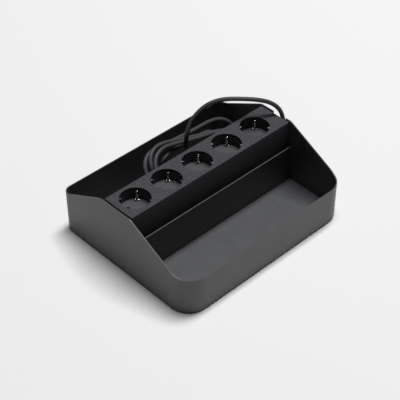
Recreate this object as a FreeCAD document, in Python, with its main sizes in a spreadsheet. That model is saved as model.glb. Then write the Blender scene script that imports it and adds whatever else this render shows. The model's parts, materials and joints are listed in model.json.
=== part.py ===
# Steel desk tray with a socket bar that magnets hold on a shelf, and the bar's own lead.
# Millimetres. X runs along the bar, Y to the rear, Z up. The origin is on the table,
# under the middle of the tray.
import FreeCAD, Part
import math
import os
import re
import Sketcher
from FreeCAD import Placement, Rotation, Vector

doc = FreeCAD.newDocument("socket_tray")
sizes = doc.addObject("Spreadsheet::Sheet", "sizes")

driving = {
    # Tray: one folded sheet with welded corners
    "tray_length": 286,
    "tray_depth": 236,
    "sheet_wall": 1.5,
    "front_corner": 30,
    "rear_corner": 12,
    "bottom_round": 1,
    # Top line of the side walls
    "front_height": 54,
    "rear_height": 62,
    "ridge_height": 97,
    "ridge_front": -16.5,
    "ridge_rear": 38.5,
    "front_foot_of_slope": -98,
    "rear_foot_of_slope": 107,
    "ridge_round": 14,
    "front_round": 45,
    "rear_round": 24,
    # Slot in the right wall for the lead
    "notch_front": -7.5,
    "notch_rear": 15.3,
    "notch_bottom": 56.5,
    "notch_round": 6,
    "notch_mouth_round": 2.5,
    # Rubber feet
    "foot_height": 1.5,
    "foot_radius": 7,
    "foot_reach_x": 116,
    "foot_reach_y": 88,
    # Divider and shelf
    "divider_front": -21.2,
    "divider_top": 57.8,
    "divider_flange": 14,
    "bend_inside": 1.2,
    "shelf_rear": 37,
    "shelf_flange": 11,
    # Socket bar
    "bar_length": 280,
    "bar_width": 51,
    "bar_height": 44,
    "bar_middle": 10.2,
    "bar_top": 96.2,
    "bar_corner": 2.5,
    "bar_wall": 2,
    "top_plate": 2.4,
    "top_round": 0.7,
    "cover_height": 38,
    "base_floor": 2,
    "lip_height": 3,
    "lip_wall": 1.2,
    "lip_gap": 0.1,
    # Sockets
    "first_socket": -110.6,
    "socket_pitch": 52.7,
    "mouth_radius": 20.3,
    "well_radius": 19.8,
    "well_wall": 1.6,
    "well_depth": 17.5,
    "well_floor": 2.5,
    "well_angle": 47,
    "collar_radius": 23.2,
    "collar_thickness": 1.5,
    "pin_reach": 9.5,
    "pin_hole_radius": 2.75,
    "rib_depth": 2.3,
    "rib_width": 5.5,
    "rib_root": 0.1,
    "rib_top": 0.8,
    # Earth clips
    "clip_width": 7,
    "clip_sheet": 0.8,
    "clip_reach": 18.9,
    "clip_nose": 15.9,
    "clip_nose_drop": 8,
    "clip_tip_drop": 3.5,
    # Bus bars
    "sleeve_radius": 3.3,
    "sleeve_bore": 2.5,
    "sleeve_length": 14,
    "busbar_sheet": 1,
    "busbar_width": 8,
    "busbar_overhang": 16,
    "earth_bar_width": 5,
    "earth_bar_sheet": 1.2,
    # Base: posts, ribs, magnets and screws
    "post_reach": 15,
    "post_radius": 2.5,
    "rib_wall": 2,
    "magnet_radius": 9,
    "magnet_height": 3,
    "magnet_recess": 0.2,
    "magnet_cup_wall": 1.8,
    "boss_reach": 19,
    "boss_radius": 3,
    "screw_radius": 1.3,
    "screw_head_radius": 2.6,
    "screw_head_height": 1.2,
    "screw_length": 9,
    # Lead, its exit and its clamp
    "cord_diameter": 6,
    "cord_exit_y": -12.2,
    "cord_exit_drop": 31.2,
    "gland_radius": 4.6,
    "gland_collar_radius": 6.4,
    "gland_collar_thickness": 1.6,
    "gland_turn": 8,
    "gland_lean": 11,
    "gland_taper_length": 7,
    "gland_tip_radius": 3.5,
    "gland_groove": 0.8,
    "clamp_length": 8,
    "clamp_width": 21,
    "clamp_height": 6,
    "clamp_round": 2.5,
    "clamp_start": 128,
    "clamp_screw_reach": 7,
    "sheath_end": 127,
    "core_radius": 1.15,
    "core_reach": 1.6,
    "core_landing": 8,
    # Coil of the lead in the rear bay
    "coil_middle_x": 53,
    "coil_middle_y": 81,
    "coil_middle_z": 31,
    "coil_straight": 44,
    "coil_turn_radius": 32,
    "coil_bundle_radius": 8,
    "coil_lean": 41,
    # Plug at the end of the lead
    "plug_face_x": -116,
    "plug_middle_y": 57.5,
    "plug_radius": 18.2,
    "plug_grip_radius": 19.5,
    "plug_nose": 17,
    "plug_chamfer": 0.7,
    "plug_length": 66,
    "plug_pin_radius": 2.4,
    "plug_pin_length": 19,
    "plug_turn": 30,
}
socket_count = 5

for row, (word, number) in enumerate(driving.items(), start=1):
    sizes.set(f"A{row}", word)
    sizes.set(f"B{row}", str(number))
    sizes.setAlias(f"B{row}", word)
doc.recompute()

parts = []


# Expressions name the sheet's cells without the sheet
def bound(text):
    return re.sub(r"\b([a-z]+(?:_[a-z]+)+)\b", r"sizes.\1", str(text))


def value(text):
    return float(sizes.evalExpression(bound(text)))


def socket_x(number):
    return f"first_socket + {number} * socket_pitch"


def gap_x(number):
    return f"first_socket + {number + 0.5} * socket_pitch"


# Placement, and the list of finished sub-parts
def place(piece, x="0", y="0", z="0", turn=None):
    piece.Placement = Placement(Vector(), turn or Rotation())
    for axis, text in zip("xyz", (x, y, z)):
        piece.setExpression(f"Placement.Base.{axis}", bound(text))
    return piece


def keep(piece, label):
    piece.Label = label
    parts.append(piece)
    return piece


def in_tray(piece, label):
    return keep(place(piece, z="foot_height"), label)


def in_bar(piece, label, x="0", turn=None):
    return keep(place(piece, x, "bar_middle", "foot_height + bar_top", turn), label)


# Sketches: each loop is a list of corners, each corner an X, a Y and a rounding
def new_body(name):
    return doc.addObject("PartDesign::Body", name)


def sketch_on(body, name, plane, lift="0"):
    sketch = body.newObject("Sketcher::SketchObject", name)
    face = [item for item in body.Origin.OriginFeatures if item.Role == plane][0]
    sketch.AttachmentSupport = [(face, "")]
    sketch.MapMode = "FlatFace"
    sketch.setExpression("AttachmentOffset.Base.z", bound(lift))
    return sketch


def bind(sketch, kind, arguments, text):
    index = sketch.addConstraint(Sketcher.Constraint(kind, *arguments, value(text)))
    name = f"size_{index}"
    sketch.renameConstraint(index, name)
    sketch.setExpression(f"Constraints.{name}", bound(text))


def pin_point(sketch, geometry, place_on_it, x, y):
    bind(sketch, "DistanceX", (-1, 1, geometry, place_on_it), x)
    bind(sketch, "DistanceY", (-1, 1, geometry, place_on_it), y)


def loop(sketch, corners):
    count = len(corners)
    spots = [Vector(value(x), value(y), 0) for x, y, rounding in corners]
    roundings = [value(rounding) for x, y, rounding in corners]
    starts, ends, arcs = [], [], []
    for i in range(count):
        before = (spots[i] - spots[i - 1]).normalize()
        after = (spots[(i + 1) % count] - spots[i]).normalize()
        turn = math.atan2(before.x * after.y - before.y * after.x, before.dot(after))
        trim = roundings[i] * math.tan(abs(turn) / 2)
        first, last = spots[i] - before * trim, spots[i] + after * trim
        side = Vector(-before.y, before.x, 0) * math.copysign(1, turn)
        centre = first + side * roundings[i]
        starts.append(last)
        ends.append(first)
        arcs.append((centre, first, last, turn))
    lines = [sketch.addGeometry(Part.LineSegment(starts[i], ends[(i + 1) % count]))
             for i in range(count)]
    for i, (x, y, rounding) in enumerate(corners):
        mark = sketch.addGeometry(Part.Point(spots[i]), True)
        pin_point(sketch, mark, 1, x, y)
        line_in, line_out = lines[i - 1], lines[i]
        if roundings[i] == 0:
            sketch.addConstraint(Sketcher.Constraint("Coincident", line_in, 2, mark, 1))
            sketch.addConstraint(Sketcher.Constraint("Coincident", line_out, 1, mark, 1))
            continue
        centre, first, last, turn = arcs[i]
        begin, finish = (first, last) if turn > 0 else (last, first)
        angle_one = math.atan2(begin.y - centre.y, begin.x - centre.x)
        angle_two = math.atan2(finish.y - centre.y, finish.x - centre.x)
        if angle_two < angle_one:
            angle_two += 2 * math.pi
        circle = Part.Circle(centre, Vector(0, 0, 1), roundings[i])
        arc = sketch.addGeometry(Part.ArcOfCircle(circle, angle_one, angle_two))
        near, far = (1, 2) if turn > 0 else (2, 1)
        sketch.addConstraint(Sketcher.Constraint("Tangent", line_in, 2, arc, near))
        sketch.addConstraint(Sketcher.Constraint("Tangent", line_out, 1, arc, far))
        sketch.addConstraint(Sketcher.Constraint("PointOnObject", mark, 1, line_in))
        sketch.addConstraint(Sketcher.Constraint("PointOnObject", mark, 1, line_out))
        bind(sketch, "Radius", (arc,), rounding)


def rectangle(sketch, left, right, front, rear, rounding="0"):
    loop(sketch, [(left, front, rounding), (right, front, rounding),
                  (right, rear, rounding), (left, rear, rounding)])


def ring(sketch, x, y, radius):
    circle = Part.Circle(Vector(value(x), value(y), 0), Vector(0, 0, 1), value(radius))
    index = sketch.addGeometry(circle)
    pin_point(sketch, index, 3, x, y)
    bind(sketch, "Radius", (index,), radius)


# Features
def pad(body, name, sketch, length, symmetric=False, down=False):
    feature = body.newObject("PartDesign::Pad", name)
    feature.Profile = sketch
    feature.setExpression("Length", bound(length))
    feature.SideType = "Symmetric" if symmetric else "One side"
    feature.Reversed = down
    return feature


def pocket(body, name, sketch, length=None, symmetric=False, forward=False):
    feature = body.newObject("PartDesign::Pocket", name)
    feature.Profile = sketch
    feature.SideType = "Symmetric" if symmetric else "One side"
    feature.Reversed = forward
    if length is None:
        feature.Type = "ThroughAll"
    else:
        feature.setExpression("Length", bound(length))
    return feature


def revolve(body, name, sketch):
    feature = body.newObject("PartDesign::Revolution", name)
    feature.Profile = sketch
    feature.ReferenceAxis = (sketch, ["V_Axis"])
    feature.Angle = 360
    return feature


def round_edges(body, name, base, radius, wanted):
    doc.recompute()
    edges = [f"Edge{i}" for i, edge in enumerate(base.Shape.Edges, start=1) if wanted(edge)]
    feature = body.newObject("PartDesign::Fillet", name)
    feature.Base = (base, edges)
    feature.setExpression("Radius", bound(radius))
    return feature


def level_edge(edge, height):
    box = edge.BoundBox
    return abs(box.ZMin - height) < 0.001 and abs(box.ZMax - height) < 0.001


# Tray
def make_tray():
    tray = new_body("tray_body")
    plan = sketch_on(tray, "plan", "XY_Plane")
    x, y = "tray_length / 2", "tray_depth / 2"
    loop(plan, [(f"-{x}", f"-{y}", "front_corner"), (x, f"-{y}", "front_corner"),
                (x, y, "rear_corner"), (f"-{x}", y, "rear_corner")])
    block = pad(tray, "outside", plan, "ridge_height")
    round_edges(tray, "folded_bottom", block, "bottom_round", lambda edge: level_edge(edge, 0))
    inside = sketch_on(tray, "inside", "XY_Plane", "ridge_height")
    x, y = "(tray_length / 2 - sheet_wall)", "(tray_depth / 2 - sheet_wall)"
    front, rear = "front_corner - sheet_wall", "rear_corner - sheet_wall"
    loop(inside, [(f"-{x}", f"-{y}", front), (x, f"-{y}", front), (x, y, rear), (f"-{x}", y, rear)])
    pocket(tray, "hollow", inside, "ridge_height - sheet_wall")
    top_line = sketch_on(tray, "top_line", "YZ_Plane")
    loop(top_line, [
        ("-tray_depth", "front_height", "0"),
        ("front_foot_of_slope", "front_height", "front_round"),
        ("ridge_front", "ridge_height", "ridge_round"),
        ("ridge_rear", "ridge_height", "ridge_round"),
        ("rear_foot_of_slope", "rear_height", "rear_round"),
        ("tray_depth", "rear_height", "0"),
        ("tray_depth", "2 * ridge_height", "0"),
        ("-tray_depth", "2 * ridge_height", "0")])
    pocket(tray, "cut_top_line", top_line, symmetric=True)
    notch = sketch_on(tray, "notch", "YZ_Plane")
    mouth = "notch_mouth_round"
    loop(notch, [
        ("notch_front", "notch_bottom", "notch_round"),
        ("notch_rear", "notch_bottom", "notch_round"),
        ("notch_rear", "ridge_height", mouth),
        ("notch_rear + 5 * notch_mouth_round", "ridge_height", "0"),
        ("notch_rear + 5 * notch_mouth_round", "2 * ridge_height", "0"),
        ("notch_front - 5 * notch_mouth_round", "2 * ridge_height", "0"),
        ("notch_front - 5 * notch_mouth_round", "ridge_height", "0"),
        ("notch_front", "ridge_height", mouth)])
    pocket(tray, "cut_notch", notch, forward=True)
    in_tray(tray, "tray")


def make_divider():
    divider = new_body("divider_body")
    side = sketch_on(divider, "section", "YZ_Plane")
    outer = "bend_inside + sheet_wall"
    loop(side, [
        ("divider_front", "sheet_wall", outer),
        ("divider_front + divider_flange", "sheet_wall", "0"),
        ("divider_front + divider_flange", "2 * sheet_wall", "0"),
        ("divider_front + sheet_wall", "2 * sheet_wall", "bend_inside"),
        ("divider_front + sheet_wall", "divider_top", "0"),
        ("divider_front", "divider_top", "0")])
    pad(divider, "folded_sheet", side, "tray_length - 2 * sheet_wall", symmetric=True)
    in_tray(divider, "divider_panel")


def make_shelf():
    shelf = new_body("shelf_body")
    side = sketch_on(shelf, "section", "YZ_Plane")
    front, top = "divider_front + sheet_wall", "(bar_top - bar_height)"
    outer = "bend_inside + sheet_wall"
    loop(side, [
        (front, f"{top} - shelf_flange", "0"),
        (f"{front} + sheet_wall", f"{top} - shelf_flange", "0"),
        (f"{front} + sheet_wall", f"{top} - sheet_wall", "bend_inside"),
        ("shelf_rear - sheet_wall", f"{top} - sheet_wall", "bend_inside"),
        ("shelf_rear - sheet_wall", f"{top} - shelf_flange", "0"),
        ("shelf_rear", f"{top} - shelf_flange", "0"),
        ("shelf_rear", top, outer),
        (front, top, outer)])
    pad(shelf, "folded_sheet", side, "tray_length - 2 * sheet_wall", symmetric=True)
    in_tray(shelf, "socket_shelf")


def make_feet():
    corners = [("-", "-"), ("", "-"), ("", ""), ("-", "")]
    for number, (side, end) in enumerate(corners, start=1):
        foot = doc.addObject("Part::Cylinder", f"foot_disc_{number}")
        foot.setExpression("Radius", bound("foot_radius"))
        foot.setExpression("Height", bound("foot_height"))
        keep(place(foot, f"{side}foot_reach_x", f"{end}foot_reach_y"), f"foot_{number}")


# Socket bar: cover and base
def bar_outline(sketch, inset, rounding):
    x, y = f"(bar_length / 2 - {inset})", f"(bar_width / 2 - {inset})"
    rectangle(sketch, f"-{x}", x, f"-{y}", y, rounding)


screw_stations = [(gap_x(gap), side) for gap in range(socket_count - 1) for side in ("-", "")]
magnet_sockets = (0, 1, 3, 4)


def make_cover():
    cover = new_body("cover_body")
    shell = sketch_on(cover, "outside", "XY_Plane", "-cover_height")
    bar_outline(shell, "0", "bar_corner")
    block = pad(cover, "shell", shell, "cover_height")
    round_edges(cover, "top_edge", block, "top_round", lambda edge: level_edge(edge, 0))
    inside = sketch_on(cover, "inside", "XY_Plane", "-cover_height")
    bar_outline(inside, "bar_wall", "bar_corner - bar_wall")
    pocket(cover, "hollow", inside, "cover_height - top_plate", forward=True)
    mouths = sketch_on(cover, "mouths", "XY_Plane")
    for number in range(socket_count):
        ring(mouths, socket_x(number), "0", "mouth_radius")
    pocket(cover, "socket_mouths", mouths, "top_plate")
    bosses = sketch_on(cover, "bosses", "XY_Plane", "-top_plate")
    holes = sketch_on(cover, "pilot_holes", "XY_Plane", "base_floor - bar_height")
    for x, side in screw_stations:
        ring(bosses, x, f"{side}boss_reach", "boss_radius")
        ring(holes, x, f"{side}boss_reach", "screw_radius")
    pad(cover, "screw_bosses", bosses, "bar_height - top_plate - base_floor", down=True)
    pocket(cover, "boss_holes", holes, "screw_length", forward=True)
    exit_hole = sketch_on(cover, "exit_circle", "YZ_Plane", "bar_length / 2 - 2 * bar_wall")
    ring(exit_hole, "cord_exit_y", "-cord_exit_drop", "gland_radius")
    pocket(cover, "cord_exit", exit_hole, "4 * bar_wall", forward=True)
    in_bar(cover, "bar_cover")


def make_base():
    base = new_body("base_body")
    rim = "(bar_height - cover_height)"
    outside = sketch_on(base, "outside", "XY_Plane", "-bar_height")
    bar_outline(outside, "0", "bar_corner")
    pad(base, "tub", outside, rim)
    inside = sketch_on(base, "inside", "XY_Plane", "-cover_height")
    bar_outline(inside, "(bar_wall + lip_gap + lip_wall)", "0")
    pocket(base, "hollow", inside, f"{rim} - base_floor")
    lip = sketch_on(base, "lip", "XY_Plane", "-cover_height")
    bar_outline(lip, "(bar_wall + lip_gap)", "bar_corner - bar_wall")
    bar_outline(lip, "(bar_wall + lip_gap + lip_wall)", "0")
    pad(base, "locating_lip", lip, "lip_height")
    relief = sketch_on(base, "relief", "YZ_Plane", "bar_length / 2 - bar_wall - gland_collar_thickness")
    ring(relief, "cord_exit_y", "-cord_exit_drop", "gland_collar_radius + lip_gap")
    pocket(base, "lip_relief", relief, "gland_collar_thickness", forward=True)
    floor = "base_floor - bar_height"
    posts = sketch_on(base, "posts", "XY_Plane", floor)
    for number in range(socket_count):
        for side in ("-", ""):
            ring(posts, socket_x(number), f"{side}post_reach", "post_radius")
    pad(base, "well_posts", posts, "bar_height - base_floor - well_depth - well_floor")
    ribs = sketch_on(base, "ribs", "XY_Plane", floor)
    reach = "(sleeve_radius + busbar_width)"
    for number in range(socket_count - 1):
        middle = gap_x(number)
        rectangle(ribs, f"{middle} - rib_wall / 2", f"{middle} + rib_wall / 2", f"-{reach}", reach)
    pad(base, "busbar_ribs", ribs, f"{busbar_drop()} - base_floor")
    cups = sketch_on(base, "cups", "XY_Plane", floor)
    seats = sketch_on(base, "seats", "XY_Plane", "-bar_height")
    for number in magnet_sockets:
        ring(cups, socket_x(number), "0", "magnet_radius + magnet_cup_wall")
        ring(seats, socket_x(number), "0", "magnet_radius")
    cup_height = "magnet_height + magnet_recess + magnet_cup_wall - base_floor"
    pad(base, "magnet_cups", cups, cup_height)
    pocket(base, "magnet_seats", seats, "magnet_height + magnet_recess", forward=True)
    block = sketch_on(base, "clamp_block_plan", "XY_Plane", floor)
    half = "clamp_width / 2"
    rectangle(block, "clamp_start", "clamp_start + clamp_length",
              f"cord_exit_y - {half}", f"cord_exit_y + {half}")
    pad(base, "clamp_block", block, "bar_height - base_floor - cord_exit_drop")
    groove = sketch_on(base, "groove", "YZ_Plane", "clamp_start - clamp_length")
    ring(groove, "cord_exit_y", "-cord_exit_drop", "cord_diameter / 2")
    pocket(base, "cord_groove", groove, "3 * clamp_length", forward=True)
    bolts = sketch_on(base, "clamp_bolts", "XY_Plane", "-cord_exit_drop")
    for side in ("-", "+"):
        ring(bolts, "clamp_start + clamp_length / 2", f"cord_exit_y {side} clamp_screw_reach",
             "screw_radius")
    pocket(base, "clamp_bolt_holes", bolts, "screw_length - clamp_height + screw_head_height")
    shanks = sketch_on(base, "shanks", "XY_Plane", "-bar_height")
    heads = sketch_on(base, "heads", "XY_Plane", "-bar_height")
    for x, side in screw_stations:
        ring(shanks, x, f"{side}boss_reach", "screw_radius")
        ring(heads, x, f"{side}boss_reach", "screw_head_radius")
    pocket(base, "screw_holes", shanks, "base_floor", forward=True)
    pocket(base, "head_seats", heads, "screw_head_height + magnet_recess", forward=True)
    in_bar(base, "bar_base")


def busbar_drop():
    return "(bar_height - well_depth - well_floor - sleeve_length - busbar_sheet)"


# Sockets: the earthed type with two round pins and side contacts (CEE 7/3)
well_turn = Rotation(Vector(0, 0, 1), -value("well_angle"))


def make_well(number):
    well = new_body(f"well_body_{number + 1}")
    section = sketch_on(well, "section", "XZ_Plane")
    outer = "well_radius + well_wall"
    under_collar = "-(top_plate + collar_thickness)"
    loop(section, [
        ("0", "-(well_depth + well_floor)", "0"),
        (outer, "-(well_depth + well_floor)", "0"),
        (outer, under_collar, "0"),
        ("collar_radius", under_collar, "0"),
        ("collar_radius", "-top_plate", "0"),
        ("well_radius", "-top_plate", "0"),
        ("well_radius", "-well_depth", "0"),
        ("0", "-well_depth", "0")])
    revolve(well, "cup", section)
    ribs = sketch_on(well, "ribs", "XY_Plane", "-well_depth")
    half, tip, root = "rib_width / 2", "(well_radius - rib_depth)", "(well_radius + rib_root)"
    rectangle(ribs, tip, root, f"-{half}", half)
    rectangle(ribs, f"-{root}", f"-{tip}", f"-{half}", half)
    pad(well, "guide_ribs", ribs, "well_depth - rib_top")
    holes = sketch_on(well, "holes", "XY_Plane", "-well_depth")
    ring(holes, "-pin_reach", "0", "pin_hole_radius")
    ring(holes, "pin_reach", "0", "pin_hole_radius")
    pocket(well, "pin_holes", holes, "well_floor")
    slots = sketch_on(well, "slots", "XY_Plane", "-well_depth")
    reach, half = "(clip_reach + clip_sheet / 4)", "(clip_width / 2 + clip_sheet / 4)"
    near = "(clip_reach - 2 * clip_sheet)"
    rectangle(slots, f"-{half}", half, near, reach)
    rectangle(slots, f"-{half}", half, f"-{reach}", f"-{near}")
    pocket(well, "clip_slots", slots, "well_floor")
    in_bar(well, f"socket_well_{number + 1}", socket_x(number), well_turn)


def make_clip(number):
    clip = new_body(f"clip_body_{number + 1}")
    strip = sketch_on(clip, "strip", "YZ_Plane")
    under = "-(well_depth + well_floor)"
    outer, inner = "clip_reach", "clip_reach - clip_sheet"
    knee = "-(well_depth - clip_nose_drop / 2)"
    half = [
        (outer, f"{under} - clip_sheet", "1.2"),
        (outer, knee, "1"),
        ("clip_nose + clip_sheet", "-clip_nose_drop", "1.5"),
        ("clip_reach - clip_sheet / 2", "-clip_tip_drop", "0"),
        ("clip_reach - 3 * clip_sheet / 2", "-clip_tip_drop", "0"),
        ("clip_nose", "-clip_nose_drop", "2"),
        (inner, f"{knee} - clip_sheet / 4", "1"),
        (inner, under, "0.4")]
    mirrored = [(f"-({x})", z, rounding) for x, z, rounding in reversed(half)]
    loop(strip, half + mirrored)
    pad(clip, "bent_strip", strip, "clip_width", symmetric=True)
    in_bar(clip, f"earth_clip_{number + 1}", socket_x(number), well_turn)


def make_busbar(label, side):
    bar = new_body(f"{label}_body")
    pin_x, pin_y = "pin_reach * cos(well_angle)", "pin_reach * sin(well_angle)"
    bottom = "-(well_depth + well_floor + sleeve_length + busbar_sheet)"
    strip = sketch_on(bar, "strip", "XY_Plane", bottom)
    low, high = f"({pin_y} - busbar_width / 2)", f"({pin_y} + busbar_width / 2)"
    front, rear = (low, high) if side == "" else (f"-{high}", f"-{low}")
    last = socket_x(socket_count - 1)
    rectangle(strip, "first_socket - busbar_overhang", f"{last} + busbar_overhang", front, rear)
    pad(bar, "flat_strip", strip, "busbar_sheet")
    sleeves = sketch_on(bar, "sleeves", "XY_Plane", bottom)
    bores = sketch_on(bar, "bores", "XY_Plane", "-(well_depth + well_floor)")
    other = "-" if side == "" else ""
    for number in range(socket_count):
        x = f"{socket_x(number)} + {other}{pin_x}"
        ring(sleeves, x, f"{side}{pin_y}", "sleeve_radius")
        ring(bores, x, f"{side}{pin_y}", "sleeve_bore")
    pad(bar, "contact_sleeves", sleeves, "sleeve_length + busbar_sheet - 2 * clip_sheet")
    pocket(bar, "contact_bores", bores, "sleeve_length")
    in_bar(bar, label)


def make_earth_busbar():
    bar = new_body("earth_busbar_body")
    top = "-(well_depth + well_floor + clip_sheet)"
    strip = sketch_on(bar, "strip", "XY_Plane", top)
    last = socket_x(socket_count - 1)
    rectangle(strip, "first_socket - busbar_overhang", f"{last} + busbar_overhang",
              "-earth_bar_width / 2", "earth_bar_width / 2")
    pad(bar, "flat_strip", strip, "earth_bar_sheet", down=True)
    in_bar(bar, "earth_busbar")


# Magnets and screws
def make_magnets():
    for number, socket in enumerate(magnet_sockets, start=1):
        magnet = doc.addObject("Part::Cylinder", f"magnet_disc_{number}")
        magnet.setExpression("Radius", bound("magnet_radius"))
        magnet.setExpression("Height", bound("magnet_height"))
        z = "foot_height + bar_top - bar_height + magnet_recess"
        keep(place(magnet, socket_x(socket), "bar_middle", z), f"magnet_{number}")


def screw(name, x, y, z, length):
    shank = doc.addObject("Part::Cylinder", f"{name}_shank")
    shank.setExpression("Radius", bound("screw_radius"))
    shank.setExpression("Height", bound(length))
    head = doc.addObject("Part::Cylinder", f"{name}_head")
    head.setExpression("Radius", bound("screw_head_radius"))
    head.setExpression("Height", bound("screw_head_height"))
    whole = doc.addObject("Part::Fuse", name)
    whole.Base, whole.Tool = shank, head
    return place(whole, x, y, z)


def make_screws():
    screws = []
    for number, (x, side) in enumerate(screw_stations, start=1):
        y = f"bar_middle + {side}boss_reach"
        z = "foot_height + bar_top - bar_height + magnet_recess"
        screws.append(screw(f"housing_screw_{number}", x, y, z, "screw_length"))
    group = doc.addObject("Part::Compound", "screw_group")
    group.Links = screws
    keep(group, "housing_screws")


# Straight runs joined by tangent arcs: the middle line of a round lead
def route(points, name):
    edges, radii, last = [], [], points[0]
    for before, corner, after in zip(points, points[1:], points[2:]):
        way_in, way_out = (corner - before).normalize(), (after - corner).normalize()
        turn = way_in.getAngle(way_out)
        trim = 0.45 * min((corner - before).Length, (after - corner).Length)
        radii.append(trim / math.tan(turn / 2))
        first, end = corner - way_in * trim, corner + way_out * trim
        bow = (way_out - way_in).normalize()
        centre = corner + bow * math.hypot(radii[-1], trim)
        middle = centre - bow * radii[-1]
        edges.append(Part.LineSegment(last, first).toShape())
        edges.append(Part.Arc(first, middle, end).toShape())
        last = end
    edges.append(Part.LineSegment(last, points[-1]).toShape())
    print(name, "radii", [round(radius, 1) for radius in radii])
    return Part.Wire(edges)


def tube(points, diameter, name):
    path = route(points, name)
    circle = Part.Circle(points[0], points[1] - points[0], diameter / 2)
    solid = path.makePipeShell([Part.Wire(circle.toShape())], True, False)
    ideal = math.pi * diameter ** 2 / 4 * path.Length
    print(name, "length", round(path.Length, 1), "volume", round(solid.Volume), "of", round(ideal))
    return solid


def feature_of(shape, label):
    piece = doc.addObject("Part::Feature", f"{label}_shape")
    piece.Shape = shape
    return keep(piece, label)


# Where the lead leaves the bar: a rubber gland that turns it up through the notch
def exit_point():
    return Vector(value("bar_length / 2"), value("bar_middle + cord_exit_y"),
                  value("foot_height + bar_top - cord_exit_drop"))


def lean_direction():
    lean = math.radians(value("gland_lean"))
    return Vector(0, math.sin(lean), math.cos(lean))


def gland_tip():
    turn = value("gland_turn")
    way = lean_direction()
    return exit_point() + Vector(turn, 0, 0) + way * (turn + value("gland_taper_length"))


def make_gland():
    start, way, turn = exit_point(), lean_direction(), value("gland_turn")
    along = Vector(1, 0, 0)
    radius, wall = value("gland_radius"), value("bar_wall")
    collar_thickness = value("gland_collar_thickness")
    collar_start = start - along * (wall + collar_thickness)
    collar = Part.makeCylinder(value("gland_collar_radius"), collar_thickness, collar_start, along)
    neck = Part.makeCylinder(radius, wall, start - along * wall, along)
    centre = start + way * turn
    bend_end = centre + along * turn
    middle = centre + (along - way).normalize() * turn
    arc = Part.Wire([Part.Arc(start, middle, bend_end).toShape()])
    circle = Part.Wire(Part.Circle(start, along, radius).toShape())
    bend = arc.makePipeShell([circle], True, False)
    length, tip = value("gland_taper_length"), value("gland_tip_radius")
    taper = Part.makeCone(radius, tip, length, bend_end, way)
    groove = value("gland_groove")
    for step in range(1, 4):
        spot = bend_end + way * (length * step / 4 - groove / 2)
        wide = Part.makeCylinder(radius * 2, groove, spot, way)
        core = Part.makeCylinder(tip, groove, spot, way)
        taper = taper.cut(wide.cut(core))
    gland = collar.fuse([neck, bend, taper]).removeSplitter()
    feature_of(gland, "strain_relief")


# Inside the bar's right end: the sheath, its clamp and the three cores
def make_cord_end():
    along = Vector(1, 0, 0)
    start = exit_point()
    inner = start.x - value("bar_wall + gland_collar_thickness")
    sheath_end = value("sheath_end")
    radius = value("cord_diameter") / 2
    sheath = Part.makeCylinder(radius, inner - sheath_end, Vector(sheath_end, start.y, start.z), along)
    feature_of(sheath, "cord_sheath_end")
    length, width, height = value("clamp_length"), value("clamp_width"), value("clamp_height")
    clamp_start = value("clamp_start")
    corner = Vector(clamp_start, start.y - width / 2, start.z)
    saddle = Part.makeBox(length, width, height, corner)
    long_edges = [edge for edge in saddle.Edges if abs(edge.BoundBox.XLength - length) < 0.001
                  and edge.BoundBox.ZMin > start.z + 1]
    saddle = saddle.makeFillet(value("clamp_round"), long_edges).cut(sheath)
    depth, head_height = value("screw_length"), value("screw_head_height")
    top = start.z + height - head_height
    screws = []
    for side in (-1, 1):
        x, y = clamp_start + length / 2, start.y + side * value("clamp_screw_reach")
        shank = Part.makeCylinder(value("screw_radius"), depth, Vector(x, y, top - depth))
        head = Part.makeCylinder(value("screw_head_radius"), head_height, Vector(x, y, top))
        screws.append(shank.fuse(head).removeSplitter())
    for fastener in screws:
        saddle = saddle.cut(fastener)
    feature_of(saddle, "cord_clamp")
    feature_of(Part.Compound(screws), "clamp_screws")


def make_cores():
    start = exit_point()
    sheath_end, core = value("sheath_end"), value("core_radius")
    top_of_strip = value("foot_height + bar_top - well_depth - well_floor - sleeve_length")
    earth_under = value("foot_height + bar_top - well_depth - well_floor - clip_sheet - earth_bar_sheet")
    middle = value("bar_middle")
    busbar_y = value("pin_reach * sin(well_angle)")
    busbar_end = value(f"{socket_x(socket_count - 1)} + busbar_overhang")
    landing, run = busbar_end - value("core_landing"), Vector(3 * core, 0, 0)
    ends = {
        "earth_wire": (90, Vector(landing, middle, earth_under - core)),
        "neutral_wire": (210, Vector(busbar_end - 3 * core, middle - busbar_y, top_of_strip + core)),
        "line_wire": (330, Vector(landing, middle + busbar_y, top_of_strip + core))}
    for label, (angle, end) in ends.items():
        angle = math.radians(angle)
        shift = Vector(0, math.cos(angle), math.sin(angle)) * value("core_reach")
        first = Vector(sheath_end, start.y, start.z) + shift
        points = [first, first - run, end + run, end]
        feature_of(tube(points, 2 * core, label), label)


# Coil of the lead: one ring of the bundle's outer shape, leaning on the rear wall
def coil_placement():
    middle = Vector(value("coil_middle_x"), value("coil_middle_y"), value("coil_middle_z + foot_height"))
    return Placement(middle, Rotation(Vector(1, 0, 0), value("coil_lean")))


def coil_solid():
    half, turn, bundle = value("coil_straight"), value("coil_turn_radius"), value("coil_bundle_radius")
    up, along = Vector(0, 0, 1), Vector(1, 0, 0)
    pieces = []
    for side in (-1, 1):
        pieces.append(Part.makeCylinder(bundle, 2 * half, Vector(-half, side * turn, 0), along))
        bend = Part.makeTorus(turn, bundle, Vector(), up, -180, 180, 180)
        bend.Placement = Placement(Vector(side * half, 0, 0), Rotation(up, -90 * side))
        pieces.append(bend)
    whole = pieces[0].fuse(pieces[1:]).removeSplitter()
    whole.Placement = coil_placement()
    return whole


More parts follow.
